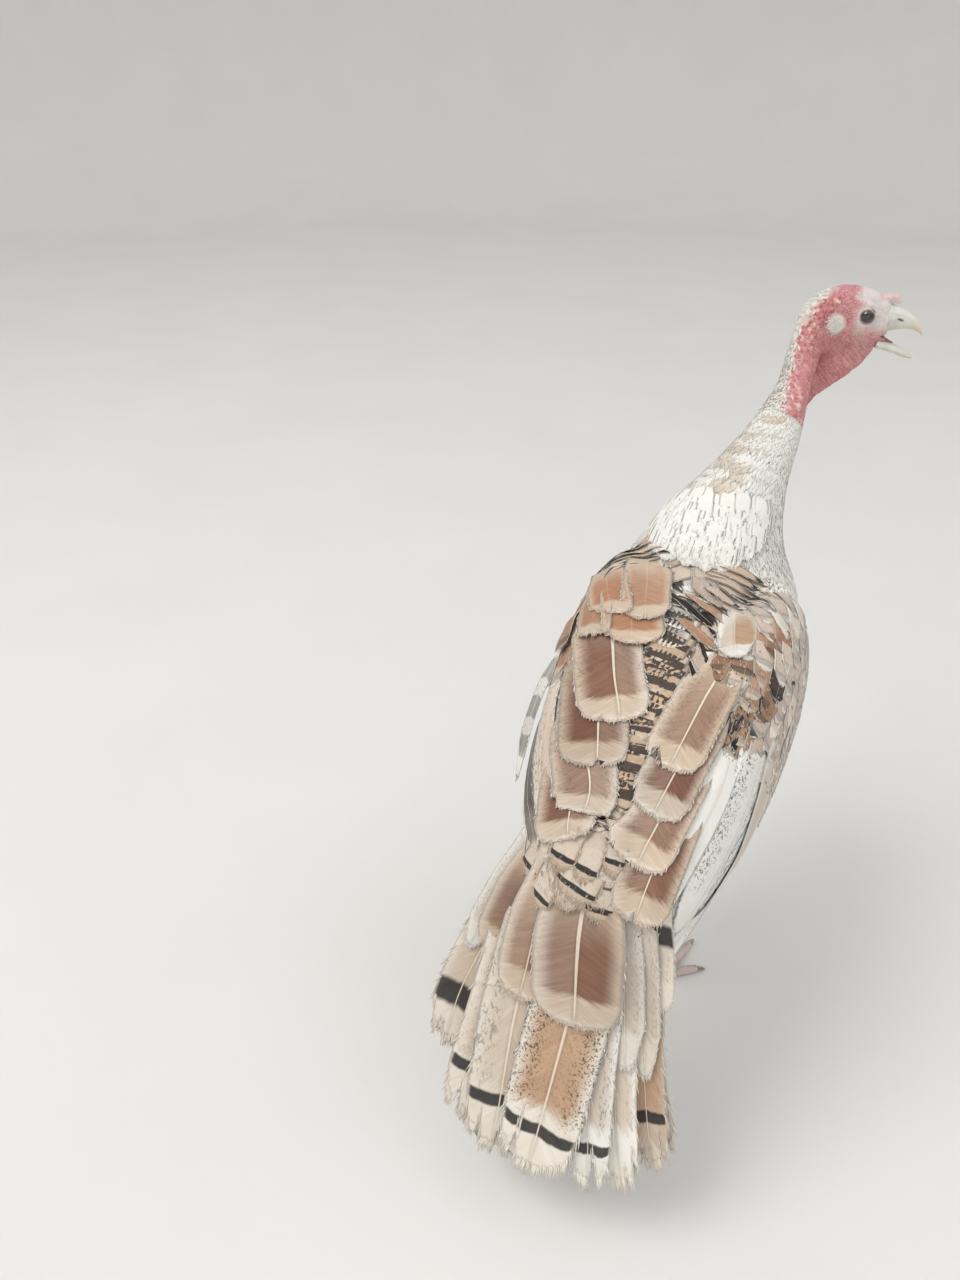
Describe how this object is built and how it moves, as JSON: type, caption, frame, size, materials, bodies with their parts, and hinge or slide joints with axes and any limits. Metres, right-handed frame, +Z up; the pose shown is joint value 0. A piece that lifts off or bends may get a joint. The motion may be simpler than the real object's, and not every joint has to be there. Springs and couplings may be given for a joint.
{
  "type": "domestic turkey",
  "caption": "Life-size standing domestic turkey hen in pale buff, white and black barred plumage, head turned over the right shoulder with the bill open.",
  "frame": {"origin": "on the floor, under the middle of the whole bird's bounding box", "axes": "+Z up from the soles to the crown, the breast faces -Y, the tail hangs towards +Y, the bird's right side is -X and the bill points to -X"},
  "size_m": [0.2514, 0.6174, 0.6892],
  "materials": {
    "body_plumage": "matte feathers",
    "wing_plumage": "matte feathers",
    "tail_plumage": "matte feathers",
    "bare_skin": "soft satin",
    "tongue": "moist satin",
    "leg_skin": "dry scaled satin",
    "bill": "satin horn",
    "claw": "satin horn",
    "eye": "wet gloss"
  },
  "bodies": {
    "root": {"trunk": "body_plumage", "neck_feathered": "body_plumage", "neck_bare": "bare_skin", "head": "bare_skin", "bill_upper": "bill", "bill_lower": "bill", "tongue": "tongue", "snood": "bare_skin", "dewlap": "bare_skin", "eye_left": "eye", "eye_right": "eye", "wing_left": "wing_plumage", "wing_right": "wing_plumage", "primaries_left": "wing_plumage", "primaries_right": "wing_plumage", "tail": "tail_plumage", "tail_coverts": "tail_plumage", "vent_feathers": "tail_plumage", "thigh_left": "body_plumage", "thigh_right": "body_plumage", "shank_left": "leg_skin", "shank_right": "leg_skin", "toe_middle_right": "leg_skin", "claw_middle_right": "claw", "toe_inner_right": "leg_skin", "claw_inner_right": "claw", "toe_outer_right": "leg_skin", "claw_outer_right": "claw", "toe_hind_right": "leg_skin", "claw_hind_right": "claw", "toe_middle_left": "leg_skin", "claw_middle_left": "claw", "toe_inner_left": "leg_skin", "claw_inner_left": "claw", "toe_outer_left": "leg_skin", "claw_outer_left": "claw", "toe_hind_left": "leg_skin", "claw_hind_left": "claw"}
  },
  "joints": []
}
